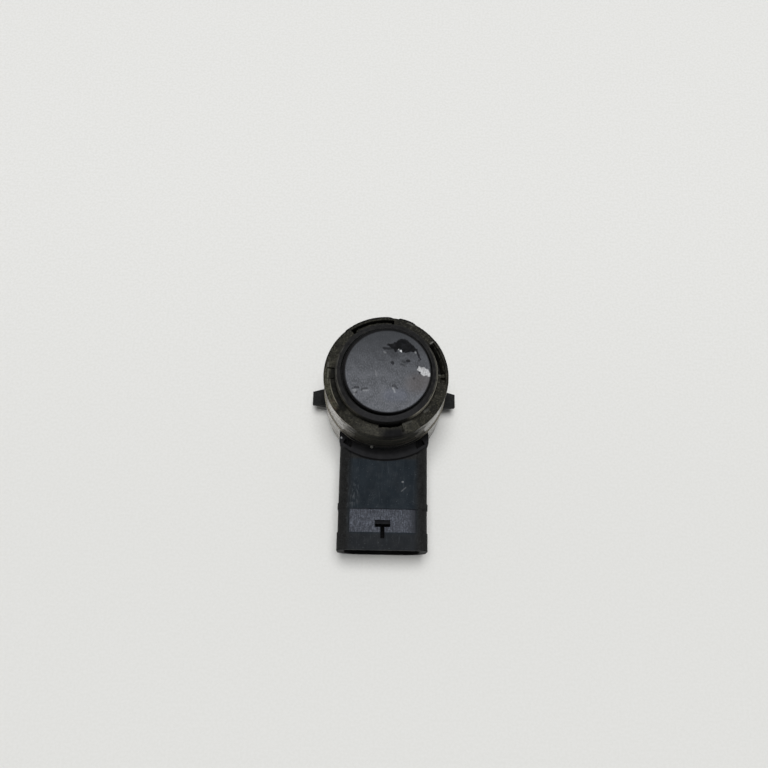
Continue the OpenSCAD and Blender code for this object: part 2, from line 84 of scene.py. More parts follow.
# Sizes that the boxes don't give, the same as the solids'
barrel_r = 11.7
barrel_top = 12.0
flange_r = 13.8
corner_pocket_r = 13.2
moat_floor = 11.2
cup_wall = 1.0
face_thickness = 0.7
face_edge_r = 0.25
rubber_floor = 0.6
rubber_r = 9.25
rubber_bore_r = 6.3
rubber_gap = 0.02
rubber_slope = 0.5
groove_w = 0.27
groove_depth = 0.9
shoulder_z = 16.5
skirt_r = 10.425
ring_bore_r = 9.3
lip_r = 10.825
pocket_z = 17.5
pocket_middles = (15, 105, 195, 285)
pocket_span = 45
shroud_top = 11.4
recess_half_w = 6.1
recess_start = 22.9
recess_end = 27.2
recess_depth = 0.4
bar_ledge_depth = 0.3
socket_half_w = 7.15
socket_low = 1.15
socket_high = 10.45
socket_floor = 13.9
bar_half_w = 1.43


# Node trees


def tone(red, green, blue_top_sheen):
    """The linear colour of screen values from 0 to 255."""
    def linear(value):
        share = value / 255
        return share / 12.92 if share <= 0.04045 else ((share + 0.055) / 1.055) ** 2.4

    return linear(red), linear(green), linear(blue_top_sheen), 1.0


class Nodes:
    """Short calls that add nodes to a tree and return the socket that carries the result."""

    def __init__(self, tree):
        self.tree = tree

    def feed(self, socket, value):
        if isinstance(value, bpy.types.NodeSocket):
            self.tree.links.new(value, socket)
        else:
            socket.default_value = value

    def node(self, kind, inputs=None, **settings):
        made = self.tree.nodes.new("ShaderNode" + kind)
        for name, value in settings.items():
            setattr(made, name, value)
        for socket, value in (inputs or {}).items():
            self.feed(made.inputs[socket], value)
        return made

    def math(self, operation, a, b=0.0):
        return self.node("Math", {0: a, 1: b}, operation=operation).outputs[0]

    def product(self, *factors):
        result = factors[0]
        for factor in factors[1:]:
            result = self.math("MULTIPLY", result, factor)
        return result

    def strongest(self, *values):
        result = values[0]
        for value in values[1:]:
            result = self.math("MAXIMUM", result, value)
        return result

    def vector(self, operation, a, b):
        return self.node("VectorMath", {0: a, 1: b}, operation=operation)

    def ramp(self, value, start, end, low=0.0, high=1.0):
        """A smooth step from low at start to high at end."""
        inputs = {"Value": value, "From Min": start, "From Max": end, "To Min": low, "To Max": high}
        return self.node("MapRange", inputs, interpolation_type="SMOOTHSTEP").outputs[0]

    def between(self, value, low, high, soft):
        """1 where the value lies between low and high, 0 outside."""
        rising = self.ramp(value, low - soft, low + soft)
        falling = self.ramp(value, high + soft, high - soft)
        return self.product(rising, falling)


class Look(Nodes):
    """A procedural material whose patterns are measured in millimetres of the row frame."""

    def __init__(self, name, constants):
        self.material = bpy.data.materials.new(name)
        self.material.use_nodes = True
        super().__init__(self.material.node_tree)
        self.shader = self.tree.nodes["Principled BSDF"]
        for socket, value in constants.items():
            self.shader.inputs[socket].default_value = value
        metres = self.node("TexCoord").outputs["Object"]
        self.place = self.vector("MULTIPLY", metres, (1 / MM,) * 3).outputs[0]
        self.x, self.y, self.z = self.node("SeparateXYZ", {0: self.place}).outputs
        self.flat = self.vector("MULTIPLY", self.place, (1, 1, 0)).outputs[0]
        self.off_axis = self.node("VectorMath", {0: self.flat}, operation="LENGTH").outputs["Value"]

    def noise(self, cell, detail=3.0, stretch=(1, 1, 1), shift=0.0):
        """Noise from 0 to 1 with features about cell millimetres wide, stretched along each axis."""
        scaled = tuple(1 / (cell * along) for along in stretch)
        at = self.vector("MULTIPLY", self.place, scaled).outputs[0]
        moved = self.vector("ADD", at, (shift,) * 3).outputs[0]
        return self.node("TexNoise", {"Vector": moved, "Scale": 1.0, "Detail": detail}).outputs["Fac"]

    def attribute(self, name):
        return self.node("Attribute", attribute_name=name).outputs["Fac"]

    def mix(self, share, a, b):
        made = self.node("Mix", data_type="RGBA")
        factor, first, second = made.inputs[0], made.inputs[6], made.inputs[7]
        self.feed(factor, share)
        self.feed(first, a)
        self.feed(second, b)
        return made.outputs[2]

    def stroke(self, start, end, width):
        """1 on a straight mark from start to end on the XY plane."""
        first = Vector((*start, 0))
        run = Vector((*end, 0)) - first
        from_first = self.vector("SUBTRACT", self.flat, first).outputs[0]
        share = self.vector("DOT_PRODUCT", from_first, run / run.length_squared).outputs["Value"]
        clamped = self.node("Clamp", {"Value": share}).outputs[0]
        nearest = self.node("VectorMath", {0: run, "Scale": clamped}, operation="SCALE").outputs[0]
        distance = self.vector("DISTANCE", from_first, nearest).outputs["Value"]
        return self.ramp(distance, width * 0.8, width * 0.2)

    def finish(self, colour, roughness=None, height=None, depth=0.02, metallic=None):
        """Links what varies to the shader; depth is the height of the bumps in millimetres."""
        self.feed(self.shader.inputs["Base Color"], colour)
        if roughness is not None:
            self.feed(self.shader.inputs["Roughness"], roughness)
        if metallic is not None:
            self.feed(self.shader.inputs["Metallic"], metallic)
        if height is not None:
            bump = self.node("Bump", {"Height": height, "Distance": depth * MM})
            self.feed(self.shader.inputs["Normal"], bump.outputs[0])
        return self.material


# Mesh helpers

WELD = 0.0005 * MM
FLAT_ANGLE = math.radians(0.4)
SHARP_ANGLE = math.radians(50)
SMOOTH_ANGLE = math.radians(38)


def piece(name, shape, look, *nodes):
    """Turns a bmesh into a piece that rides on the root body and stands for the named CAD nodes."""
    bmesh.ops.recalc_face_normals(shape, faces=shape.faces)
    mesh = bpy.data.meshes.new(name)
    shape.to_mesh(mesh)
    shape.free()
    mesh.shade_smooth()
    mesh.set_sharp_from_angle(angle=SMOOTH_ANGLE)
    mesh.materials.append(look)
    thing = bpy.data.objects.new(name, mesh)
    bpy.context.scene.collection.objects.link(thing)
    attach(thing, "root")
    if nodes:
        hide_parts(*nodes)
    return thing


def turned(radius, height, angle):
    """A closed shape about the head's axis: a row for each profile point, a column for each angle."""
    rows, columns = radius.shape
    points = np.stack([radius * np.cos(angle), radius * np.sin(angle), height], axis=-1) * MM
    shape = bmesh.new()
    corners = [[shape.verts.new(point) for point in row] for row in points]
    for row in range(rows):
        above = (row + 1) % rows
        for column in range(columns):
            beside = (column + 1) % columns
            shape.faces.new(
                (corners[row][column], corners[row][beside], corners[above][beside], corners[above][column])
            )
    bmesh.ops.remove_doubles(shape, verts=shape.verts, dist=WELD)
    loose = [edge for edge in shape.edges if not edge.link_faces]
    bmesh.ops.delete(shape, geom=loose, context="EDGES")
    return shape


def unit(vector):
    return vector / np.linalg.norm(vector)


def filleted(corners, steps=6):
    """The points of a closed profile whose (r, z, fillet) corners are rounded."""
    points = []
    for index, (r, z, fillet) in enumerate(corners):
        corner = np.array((r, z))
        if not fillet:
            points.append(corner)
            continue
        to_last = unit(np.array(corners[index - 1][:2]) - corner)
        to_next = unit(np.array(corners[(index + 1) % len(corners)][:2]) - corner)
        half = math.acos(np.clip(to_last @ to_next, -1, 1)) / 2
        middle = corner + unit(to_last + to_next) * fillet / math.sin(half)
        start = corner + to_last * fillet / math.tan(half) - middle
        end = corner + to_next * fillet / math.tan(half) - middle
        for step in range(steps + 1):
            share = step / steps
            points.append(middle + unit(start * (1 - share) + end * share) * fillet)
    return np.array(points)


def softened(node, radius):
    """A copy of a CAD node whose sharp outer edges are rounded; the rounded strips have edge = 1."""
    shape = bmesh.new()
    shape.from_mesh(frame["nodes"][node].data)
    bmesh.ops.remove_doubles(shape, verts=shape.verts, dist=WELD)
    bmesh.ops.dissolve_limit(shape, angle_limit=FLAT_ANGLE, verts=shape.verts, edges=shape.edges)
    edge_value = shape.faces.layers.float.new("edge")
    sharp = [
        edge for edge in shape.edges
        if edge.is_manifold and edge.is_convex and edge.calc_face_angle() > SHARP_ANGLE
    ]
    made = bmesh.ops.bevel(
        shape, geom=sharp, offset=radius * MM, offset_type="OFFSET", segments=2, profile=0.5,
        affect="EDGES", clamp_overlap=True,
    )
    for face in made["faces"]:
        face[edge_value] = 1.0
    return shape


def keep_flats(thing):
    """Weights the normals by area, so that flat faces stay flat beside the rounded edges."""
    weighted = thing.modifiers.new("flat_faces", "WEIGHTED_NORMAL")
    weighted.keep_sharp = True


# Marks on a surface, worked out for an array of points


def smooth(value, start, end):
    """A smooth step from 0 at start to 1 at end."""
    share = np.clip((value - start) / (end - start), 0, 1)
    return share * share * (3 - 2 * share)


def rough(points, cell, seed=0.0):
    """Noise from about -1 to 1 at each XY point, with features about cell millimetres wide."""
    shift = Vector((seed, seed, seed))
    return np.array([noise.noise(Vector((*point, 0)) / cell + shift) for point in points])


def distance_to(points, start, end):
    """Distance from each XY point to the segment from start to end."""
    start, end = np.array(start, float), np.array(end, float)
    run = end - start
    share = np.clip((points - start) @ run / max(run @ run, 1e-9), 0, 1)
    return np.linalg.norm(points - start - share[:, None] * run, axis=1)


def along(points, path, width):
    """1 on a line of that width through the path, 0 outside."""
    nearest = np.min([distance_to(points, a, b) for a, b in zip(path, path[1:])], axis=0)
    return smooth(nearest, width * 0.7, width * 0.3)


def inside(points, outline, soft):
    """1 inside a closed outline, 0 outside, with an edge soft millimetres wide."""
    nearest = np.full(len(points), np.inf)
    odd = np.zeros(len(points), bool)
    for a, b in zip(outline, outline[1:] + outline[:1]):
        nearest = np.minimum(nearest, distance_to(points, a, b))
        crosses = (a[1] > points[:, 1]) != (b[1] > points[:, 1])
        rise = (b[1] - a[1]) or 1.0
        odd ^= crosses & (points[:, 0] < a[0] + (points[:, 1] - a[1]) * (b[0] - a[0]) / rise)
    return smooth(np.where(odd, nearest, -nearest), -soft / 2, soft / 2)


def store(thing, name, values):
    """Keeps one number for each vertex, for the material to read."""
    attribute = thing.data.attributes.new(name, "FLOAT", "POINT")
    attribute.data.foreach_set("value", np.asarray(values, np.float32))


def vertices(thing):
    """The vertices of a piece, in millimetres."""
    places = np.empty(len(thing.data.vertices) * 3)
    thing.data.vertices.foreach_get("co", places)
    return places.reshape(-1, 3) / MM


# Sensing cup

FACE_ROWS = 104
FACE_COLUMNS = 360
EDGE_STEPS = 8
CHIP_DEPTH = 0.05
# The marks are whole down to this depth below the face, and fade out on its rounded edge
MARK_SKIN = 0.05
# How far the edges of chips and scratches wander, and the width of one such wander
RAGGED = 0.16
RAGGED_CELL = 0.45
# Widths of the soft edge of the two chips
PRIMER_EDGE = 0.14
METAL_EDGE = 0.1

# Where the paint is gone down to the dark primer
PRIMER_CHIP = [
    (0.25, 4.75), (1.0, 4.95), (1.4, 5.25), (2.0, 5.55), (2.4, 5.9), (3.1, 5.9), (3.6, 5.65), (4.0, 5.25),
    (4.7, 4.7), (5.1, 4.2), (5.4, 3.85), (5.1, 3.5), (4.6, 3.4), (4.0, 3.4), (3.4, 3.35), (2.9, 3.35),
    (2.5, 3.9), (2.0, 3.95), (1.8, 3.5), (1.4, 3.4), (1.2, 3.9), (0.8, 4.1), (0.4, 4.4),
]
# Where the paint is gone down to the metal
METAL_CHIP = [
    (5.35, 0.15), (5.6, 0.5), (5.75, 0.9), (6.05, 0.65), (6.5, 0.6), (6.9, 0.45), (7.3, 0.1), (7.6, -0.3),
    (7.85, -0.6), (7.85, -1.05), (7.4, -1.0), (7.0, -0.95), (6.6, -0.95), (6.3, -0.7), (6.0, -0.35),
    (5.7, -0.1),
]
# Dark scratches and dents: a path, a width and a strength
DARK_MARKS = [
    ([(-0.6, 4.05), (0.2, 4.0), (1.2, 4.1)], 0.5, 0.75),
    ([(0.2, 4.7), (1.0, 4.75)], 0.4, 0.85),
    ([(1.0, 4.0), (1.0, 2.6)], 0.9, 0.35),
    ([(0.3, 3.3), (1.6, 2.9)], 0.9, 0.3),
    ([(5.3, 4.0), (5.5, 3.2), (5.8, 2.5), (6.0, 2.1)], 0.3, 0.9),
    ([(5.6, 1.9), (5.9, 1.9)], 0.3, 0.5),
    ([(5.4, 0.9), (5.45, 0.7)], 0.3, 0.6),
    ([(5.45, 0.1), (5.8, -0.35), (6.2, -0.75)], 0.22, 0.8),
    ([(0.9, 1.5), (1.05, 1.25)], 0.55, 0.8),
    ([(3.65, 1.75), (4.0, 1.75)], 0.5, 0.85),
    ([(2.9, 1.6), (3.3, 1.5)], 0.5, 0.45),
    ([(2.6, 1.1), (3.2, 0.75)], 0.35, 0.35),
    ([(4.8, -1.5), (4.85, -1.5)], 0.5, 0.5),
    ([(-5.9, -3.55), (-5.4, -3.3), (-4.9, -3.35)], 0.36, 0.65),
    ([(-5.45, -4.25), (-5.3, -4.25)], 0.36, 0.65),
    ([(-4.4, -3.75), (-3.8, -3.5), (-3.4, -3.6)], 0.36, 0.5),
    ([(1.2, -2.9), (1.6, -3.05), (1.9, -3.4)], 0.4, 0.55),
]
# Pale specks and scratches: a path, a width and a strength
PALE_MARKS = [
    ([(2.05, 3.85), (2.07, 3.8)], 0.22, 0.5),
    ([(2.4, 3.6), (2.5, 3.5)], 0.3, 1.0),
    ([(-5.7, -3.85), (-5.5, -4.0)], 0.5, 0.16),
    ([(-5.75, -4.65), (-5.6, -4.6)], 0.4, 0.16),
    ([(-4.0, -3.9), (-3.3, -3.85)], 0.36, 0.14),
    ([(1.15, -3.3), (1.3, -3.6), (1.45, -4.0)], 0.34, 0.22),
    ([(5.05, 3.45), (5.15, 3.3)], 0.3, 0.2),
    ([(-0.45, 3.35), (-0.3, 3.3)], 0.4, 0.12),
    ([(-2.0, -0.2), (-1.75, -1.2)], 0.25, 0.08),
]
# A scuffed patch that fades out from its core to its radius
SCUFF_MIDDLE = (3.2, 2.3)
SCUFF_R = 2.4
SCUFF_CORE = 0.8
# Painted shade: the grey paint is darkened outside an off-axis circle into a dark rim, wider on the far
# left
RIM_SHADE_MIDDLE = (0.2, -0.2, 0)
RIM_SHADE_R = 7.6


def face_marks(points):
    """How much of each mark every XY point of the face carries."""
    wander = np.stack([rough(points, RAGGED_CELL, 3), rough(points, RAGGED_CELL, 7)], axis=1)
    ragged = points + RAGGED * wander
    primer = inside(ragged, PRIMER_CHIP, PRIMER_EDGE)
    for path, width, strength in DARK_MARKS:
        primer = np.maximum(primer, strength * along(ragged, path, width))
    pale = np.max([strength * along(ragged, path, width) for path, width, strength in PALE_MARKS], axis=0)
    scuff = smooth(np.linalg.norm(points - SCUFF_MIDDLE, axis=1), SCUFF_R, SCUFF_CORE)
    return {
        "primer": primer,
        "metal": inside(ragged, METAL_CHIP, METAL_EDGE),
        "pale": pale,
        "scuff": scuff * smooth(rough(points, 0.5, 11), -0.25, 0.45),
    }


def face_look():
    look = Look("grey_face_paint", {"Specular IOR Level": 0.04})
    primer, metal = look.attribute("primer"), look.attribute("metal")
    pale, scuff = look.attribute("pale"), look.attribute("scuff")
    paint = look.mix(look.ramp(look.noise(1.6), 0.3, 0.7), tone(77, 79, 83), tone(96, 98, 103))
    grain = look.ramp(look.noise(0.2, 3, (1, 2, 1)), 0.42, 0.72, 0, 0.65)
    speckled = look.mix(grain, paint, tone(120, 122, 128))
    pits = look.ramp(look.noise(0.3, 3, shift=9), 0.56, 0.72, 0, 0.6)
    pitted = look.mix(pits, speckled, tone(56, 58, 61))
    # Painted shade: the paint is darker towards +Y, where the face catches less sheen
    far_shaded_paint = look.mix(look.ramp(look.y, -5.0, 8.5, 0.0, 0.9), pitted, tone(52, 54, 57))
    scuffed = look.mix(look.product(scuff, 0.45), far_shaded_paint, tone(54, 56, 60))
    warm = look.product(look.stroke((5.2, -2.4), (6.8, -2.0), 3.4), 0.5)
    bluish = look.product(look.stroke((0.6, -4.7), (2.6, -4.6), 2.2), 0.3)
    smeared = look.mix(warm, look.mix(bluish, scuffed, tone(96, 101, 116)), tone(88, 82, 80))
    stubble = look.ramp(look.noise(0.5, 4, shift=12), 0.5, 0.75)
    bottom = look.mix(stubble, tone(5, 6, 8), tone(26, 27, 32))
    chipped = look.mix(look.product(primer, 0.98), smeared, bottom)
    scratched = look.mix(look.product(pale, 0.95), chipped, tone(214, 216, 218))
    bright = look.ramp(look.noise(0.4, 3), 0.3, 0.6)
    bare = look.mix(bright, tone(138, 138, 139), tone(190, 191, 193))
    colour = look.mix(metal, scratched, bare)
    # Painted shade: the face's rounded rim is painted near black outside the off-axis circle
    from_middle = look.vector("DISTANCE", look.flat, RIM_SHADE_MIDDLE).outputs["Value"]
    side = look.ramp(from_middle, RIM_SHADE_R - 0.2, RIM_SHADE_R + 0.1)
    return look.finish(
        look.mix(side, colour, tone(14, 14, 15)),
        look.ramp(look.noise(0.8), 0.3, 0.7, 0.42, 0.56),
        look.noise(0.12, 2),
        0.006,
    )


def sensing_cup():
    edge_middle = cup_r - face_edge_r
    face = [(r, face_z) for r in np.linspace(0, edge_middle, FACE_ROWS)]
    arc = [
        (edge_middle + face_edge_r * math.sin(turn), face_z - face_edge_r * (1 - math.cos(turn)))
        for turn in np.linspace(0, math.pi / 2, EDGE_STEPS)[1:]
    ]
    bore_r = cup_r - cup_wall
    membrane_z = face_z - face_thickness
    rest = [(cup_r, cup_low.z), (bore_r, cup_low.z), (bore_r, membrane_z), (0, membrane_z)]
    profile = np.array(face + arc + rest)
    angle = np.linspace(0, math.tau, FACE_COLUMNS, endpoint=False)
    radius = np.repeat(profile[:, :1], FACE_COLUMNS, axis=1)
    height = np.repeat(profile[:, 1:], FACE_COLUMNS, axis=1)
    cup = piece("sensing_cup", turned(radius, height, angle), face_look(), "transducer_cup")
    places = vertices(cup)
    marks = face_marks(places[:, :2])
    on_face = smooth(places[:, 2], face_z - face_edge_r, face_z - MARK_SKIN)
    for name, values in marks.items():
        store(cup, name, values * on_face)
    sunk = CHIP_DEPTH * on_face * np.maximum(marks["primer"] ** 2, marks["metal"])
    places[:, 2] -= sunk
    cup.data.vertices.foreach_set("co", (places * MM).ravel())
    cup.data.update()


# Soft ring round the cup

RUBBER_COLUMNS = 240


def silicone_look():
    look = Look("dark_silicone", {"Specular IOR Level": 0.1})
    low_side = look.ramp(look.y, -4.5, -8.0, 0.0, 0.6)
    bare = look.mix(look.ramp(look.noise(1.1), 0.3, 0.7), tone(21, 21, 22), tone(33, 33, 33))
    body = look.mix(low_side, bare, tone(42, 42, 44))
    dusty = look.mix(look.ramp(look.noise(0.4, 4), 0.5, 0.8, 0, 0.4), body, tone(62, 61, 58))
    sideways = look.ramp(look.math("ABSOLUTE", look.x), 6.5, 8.5)
    edge = look.between(look.off_axis, rubber_r - 0.35, rubber_r - 0.15, 0.06)
    rim = look.product(edge, sideways, look.ramp(look.noise(0.9), 0.3, 0.55))
    rimmed = look.mix(look.product(rim, 0.35), dusty, tone(104, 102, 94))
    # Painted shade: the soft ring's outer side is painted near black at the front and the back; on the
    # sides it takes a dust tone
    away = look.strongest(look.ramp(look.y, -7.2, -8.6), look.ramp(look.y, 2.0, 5.0))
    beside = look.mix(look.ramp(look.x, -2.0, 6.0), tone(60, 58, 52), tone(140, 136, 124))
    outer_dust_and_shade = look.mix(away, beside, tone(9, 9, 9))
    outside = look.ramp(look.off_axis, rubber_r - 0.12, rubber_r - 0.02)
    banked = look.mix(outside, rimmed, outer_dust_and_shade)
    # Painted shade: the groove between the cup and the soft ring is painted near black
    groove = look.ramp(look.off_axis, cup_r + groove_w + 0.06, cup_r + groove_w - 0.06)
    return look.finish(
        look.mix(groove, banked, tone(9, 9, 9)),
        look.ramp(look.noise(0.7), 0.3, 0.7, 0.55, 0.7),
        look.noise(0.16, 3),
        0.012,
    )


def soft_ring():
    inner = cup_r + rubber_gap
    top_r = inner + groove_w
    profile = filleted([
        (rubber_bore_r, rubber_z, 0),
        (rubber_flange_r, rubber_z, 0.1),
        (rubber_flange_r, shoulder_z, 0),
        (rubber_r, shoulder_z, 0),
        (rubber_r, rubber_top - rubber_slope, 0.3),
        (top_r, rubber_top, 0.14),
        (top_r, rubber_top - groove_depth, 0.05),
        (inner, rubber_top - groove_depth, 0),
        (inner, rubber_z + rubber_floor, 0),
        (rubber_bore_r, rubber_z + rubber_floor, 0),
    ])
    angle = np.linspace(0, math.tau, RUBBER_COLUMNS, endpoint=False)
    radius = np.repeat(profile[:, :1], RUBBER_COLUMNS, axis=1)
    height = np.repeat(profile[:, 1:], RUBBER_COLUMNS, axis=1)
    piece("soft_ring", turned(radius, height, angle), silicone_look(), "decoupling_ring")


# Front ring with its four pockets

POCKET_STEPS = 70
LIP_ROUND = 0.28
INNER_ROUND = 0.14
JOINT_CHAMFER = 0.1
WALL_ROWS = 40
FLOOR_ROWS = 13
# Faces no further in than this belong to the wall, up to this depth below the ring's top
WALL_SKIN = 0.06
WALL_TOP = 0.4 * LIP_ROUND
# How uneven the lip's top, the packed dirt and the bare floors are
LIP_UNEVEN = 0.03
DIRT_LUMPS = 0.06
BARE_LUMPS = 0.3 * DIRT_LUMPS
# Depths below the ring's top between which wear and crust fade out down the wall
WEAR_FADE = (1.4, 0.5)
# Drop of the ring's top towards its bore, over the last share of its width
BORE_DROP = 0.08
BORE_SHARE = 0.85
# The wall keeps its cake of dust this far to each side of the front, in degrees, and above this height,
# with an edge that wanders by this many degrees
FRONT_DUST = 30
FRONT_CLEAN_Z = 13.0
FRONT_RAGGED = 5
# Thickness of the dust that has settled at the foot of the wall
FOOT_DUST = 0.08
# Dirt packed in the pockets: first and last angle, inner and outer radius, and how full the place is
PACKED_DIRT = [
    (-10, 1, 9.0, 10.1, 0.8),
    (-10, 1, 10.0, 11.0, 0.5),
    (-1, 5, 9.0, 11.0, 0.8),
    (5, 39, 10.5, 11.0, 0.75),
    (84, 125, 9.0, 10.5, 0.92),
    (170, 184, 9.0, 11.0, 0.8),
    (183, 220, 9.0, 11.0, 0.92),
    (258, 288, 9.6, 11.0, 1.0),
    (287, 312, 9.0, 11.0, 1.0),
]
# The angles above start here, and the dirt's edges wander and fade by this much
DIRT_FIRST = -30
DIRT_EDGE_DEGREES = 1.5
DIRT_EDGE = 0.1
# Outer radius of the dark trough in the left pocket
TROUGH_R = 10.15
# Marks on the ring's top: start, end, width, strength and grey level
RING_MARKS = [
    ((-9.7, 0.9), (-9.9, -0.4), 0.9, 0.55, 16),
    ((-8.1, -6.2), (-7.5, -6.45), 1.0, 0.9, 8),
    ((-8.4, -6.7), (-8.5, -6.85), 0.7, 0.85, 10),
    ((-7.8, -8.0), (-7.7, -8.1), 0.5, 0.7, 12),
    ((-10.6, 2.2), (-10.7, -1.6), 0.3, 0.45, 96),
    ((8.1, 6.4), (8.5, 6.7), 0.3, 0.6, 118),
    ((9.7, 1.0), (9.8, 0.6), 0.4, 0.5, 110),
    ((3.9, 10.4), (4.7, 9.9), 0.3, 0.5, 90),
    ((7.0, -6.6), (7.6, -6.2), 0.5, 0.4, 92),
    ((3.2, -9.0), (4.6, -8.4), 0.4, 0.35, 88),
]
# Worn places on the lip's outer edge: first angle, last angle and depth
WORN_LIP = [(78, 85, 0.07), (38, 64.6, 0.06)]
# Crusts of dirt on the lip's outer edge: first angle, last angle and thickness
LIP_CRUST = [(62.5, 78.5, 0.15), (86, 132, 0.09)]
# Degrees over which both begin and end
LIP_EDGE = 0.7


def window(value, first, last, soft):
    """1 where the value lies between first and last, 0 outside."""
    return smooth(value, first - soft, first + soft) * smooth(value, last + soft, last - soft)


def plateau(angle, ranges):
    """For each angle the value of the range that it lies in, with soft edges."""
    level = np.zeros_like(angle)
    for first, last, value in ranges:
        level = np.maximum(level, value * window(angle, first, last, LIP_EDGE))
    return level


def packed_dirt(degrees, radius):
    """How full of dirt the pockets are at each place, from 0 to 1."""
    angle = np.radians(degrees)
    points = np.stack([radius * np.cos(angle), radius * np.sin(angle)], axis=1)
    wander = DIRT_EDGE_DEGREES * rough(points, 0.6, 5)
    turn = (degrees + wander - DIRT_FIRST) % 360 + DIRT_FIRST
    ragged = radius + DIRT_EDGE * rough(points, 0.5, 6)
    full = np.zeros(len(turn))
    for first, last, inner, outer, value in PACKED_DIRT:
        around = window(turn, first, last, DIRT_EDGE_DEGREES)
        across = window(ragged, inner, outer, DIRT_EDGE)
        full = np.maximum(full, value * around * across)
    return full


def ring_columns():
    """Angles in degrees round the ring and whether each column is in a pocket; an end has one of both."""
    half = pocket_span / 2
    land = 360 / len(pocket_middles) - half
    angles = []
    open_above = []
    for middle in pocket_middles:
        angles += list(middle + np.linspace(-half, half, POCKET_STEPS + 1))
        angles += list(middle + np.linspace(half, land, POCKET_STEPS + 1))
        open_above += [True] * (POCKET_STEPS + 1) + [False] * (POCKET_STEPS + 1)
    return np.array(angles), np.array(open_above)


def ring_look():
    look = Look("ring_under_dust", {"Specular IOR Level": 0.12})
    plastic = look.mix(look.noise(0.9), tone(9, 9, 10), tone(18, 18, 19))
    olive = look.mix(look.ramp(look.noise(1.4, 4), 0.32, 0.68), tone(30, 29, 24), tone(52, 51, 44))
    far_side = look.mix(look.ramp(look.y, 2.0, 9.0, 0.0, 0.6), olive, tone(22, 22, 20))
    aside = look.math("ABSOLUTE", look.x)
    front = look.product(look.ramp(look.y, -7.0, -9.6, 0.0, 0.45), look.ramp(aside, 6.5, 3.0))
    right_side = look.mix(look.ramp(look.x, 3.0, 8.0, 0.0, 0.55), far_side, tone(22, 21, 18))
    caked = look.mix(front, right_side, tone(66, 65, 60))
    streaked = look.mix(look.ramp(look.noise(0.24, 3), 0.48, 0.74, 0, 0.75), caked, tone(78, 76, 66))
    pits = look.ramp(look.noise(0.32, 3, shift=7), 0.48, 0.72, 0, 0.8)
    pitted = look.mix(pits, streaked, tone(18, 18, 16))
    rust = look.product(
        look.stroke((-9.6, -5.1), (-9.0, -6.2), 1.4), look.ramp(look.noise(0.6), 0.35, 0.6)
    )
    stained = look.mix(look.product(rust, 0.5), pitted, tone(62, 46, 40))
    scored = stained
    for start, end, width, strength, shade in RING_MARKS:
        mark = look.product(look.stroke(start, end, width), strength)
        scored = look.mix(mark, scored, tone(shade, shade, shade - 4))
    left_side = look.ramp(look.x, -6.5, -7.5)
    left_arc = look.product(look.between(look.y, -6.4, 1.3, 0.3), left_side)
    trough = look.product(
        left_arc,
        look.between(look.off_axis, ring_bore_r - 0.2, TROUGH_R, 0.15),
        look.ramp(look.noise(0.5, 3, shift=13), 0.3, 0.6, 0.7, 1.0),
    )
    olive_lip = look.product(
        left_arc,
        look.between(look.off_axis, TROUGH_R + 0.3, ring_r - 0.15, 0.1),
        look.ramp(look.noise(0.4, 3, shift=14), 0.35, 0.65, 0.0, 0.45),
    )
    lip_line = look.product(
        look.between(look.off_axis, TROUGH_R + 0.05, TROUGH_R + 0.17, 0.06),
        look.between(look.y, -5.6, -0.6, 0.5),
        look.ramp(look.y, 0.0, -4.0, 0.3, 0.85),
        left_side,
    )
    lipped = look.mix(olive_lip, scored, tone(92, 92, 74))
    hollowed = look.mix(trough, lipped, tone(13, 13, 10))
    lip_lined = look.mix(lip_line, hollowed, tone(120, 118, 106))
    cover = look.ramp(look.noise(1.9, 4, shift=4), 0.28, 0.5, 0.45, 1.0)
    bare = look.product(
        look.stroke((0.6, -10.9), (2.4, -10.7), 2.2),
        look.ramp(look.z, ring_top - 4, ring_top - 2),
    )
    dusted = look.product(cover, look.math("SUBTRACT", 1.0, bare))
    dirt = look.mix(dusted, plastic, lip_lined)
    lines = look.ramp(look.noise(1.0, 3, (7, 7, 0.9), shift=2), 0.46, 0.6)
    on_wall = look.product(
        look.ramp(look.off_axis, ring_r - 0.1, ring_r - 0.03), look.ramp(look.y, -2.0, -5.0)
    )
    in_shade = look.product(on_wall, look.ramp(look.x, -4.0, 1.0, 0.2, 0.6))
    shady = look.mix(in_shade, dirt, tone(16, 16, 14))
    lined = look.mix(look.product(on_wall, lines, 0.4), shady, tone(88, 86, 76))
    # Painted shade: the open, unpacked parts of the pockets are painted near black
    deep = look.product(
        look.ramp(look.z, ring_top - 0.6, pocket_z + 0.6),
        look.ramp(look.off_axis, lip_r + 0.1, lip_r - 0.05),
        look.math("SUBTRACT", 1.0, look.attribute("packed")),
    )
    hollow_shade = look.mix(deep, lined, tone(9, 9, 8))
    far_edge = look.product(
        look.ramp(look.off_axis, ring_r - 0.4, ring_r - 0.1), look.ramp(look.y, -3.0, 3.0), 0.75
    )
    edged = look.mix(far_edge, hollow_shade, tone(12, 12, 12))
    roughness = look.ramp(look.noise(0.6), 0.3, 0.7, 0.7, 0.85)
    return look.finish(edged, roughness, look.noise(0.2, 4), 0.03)


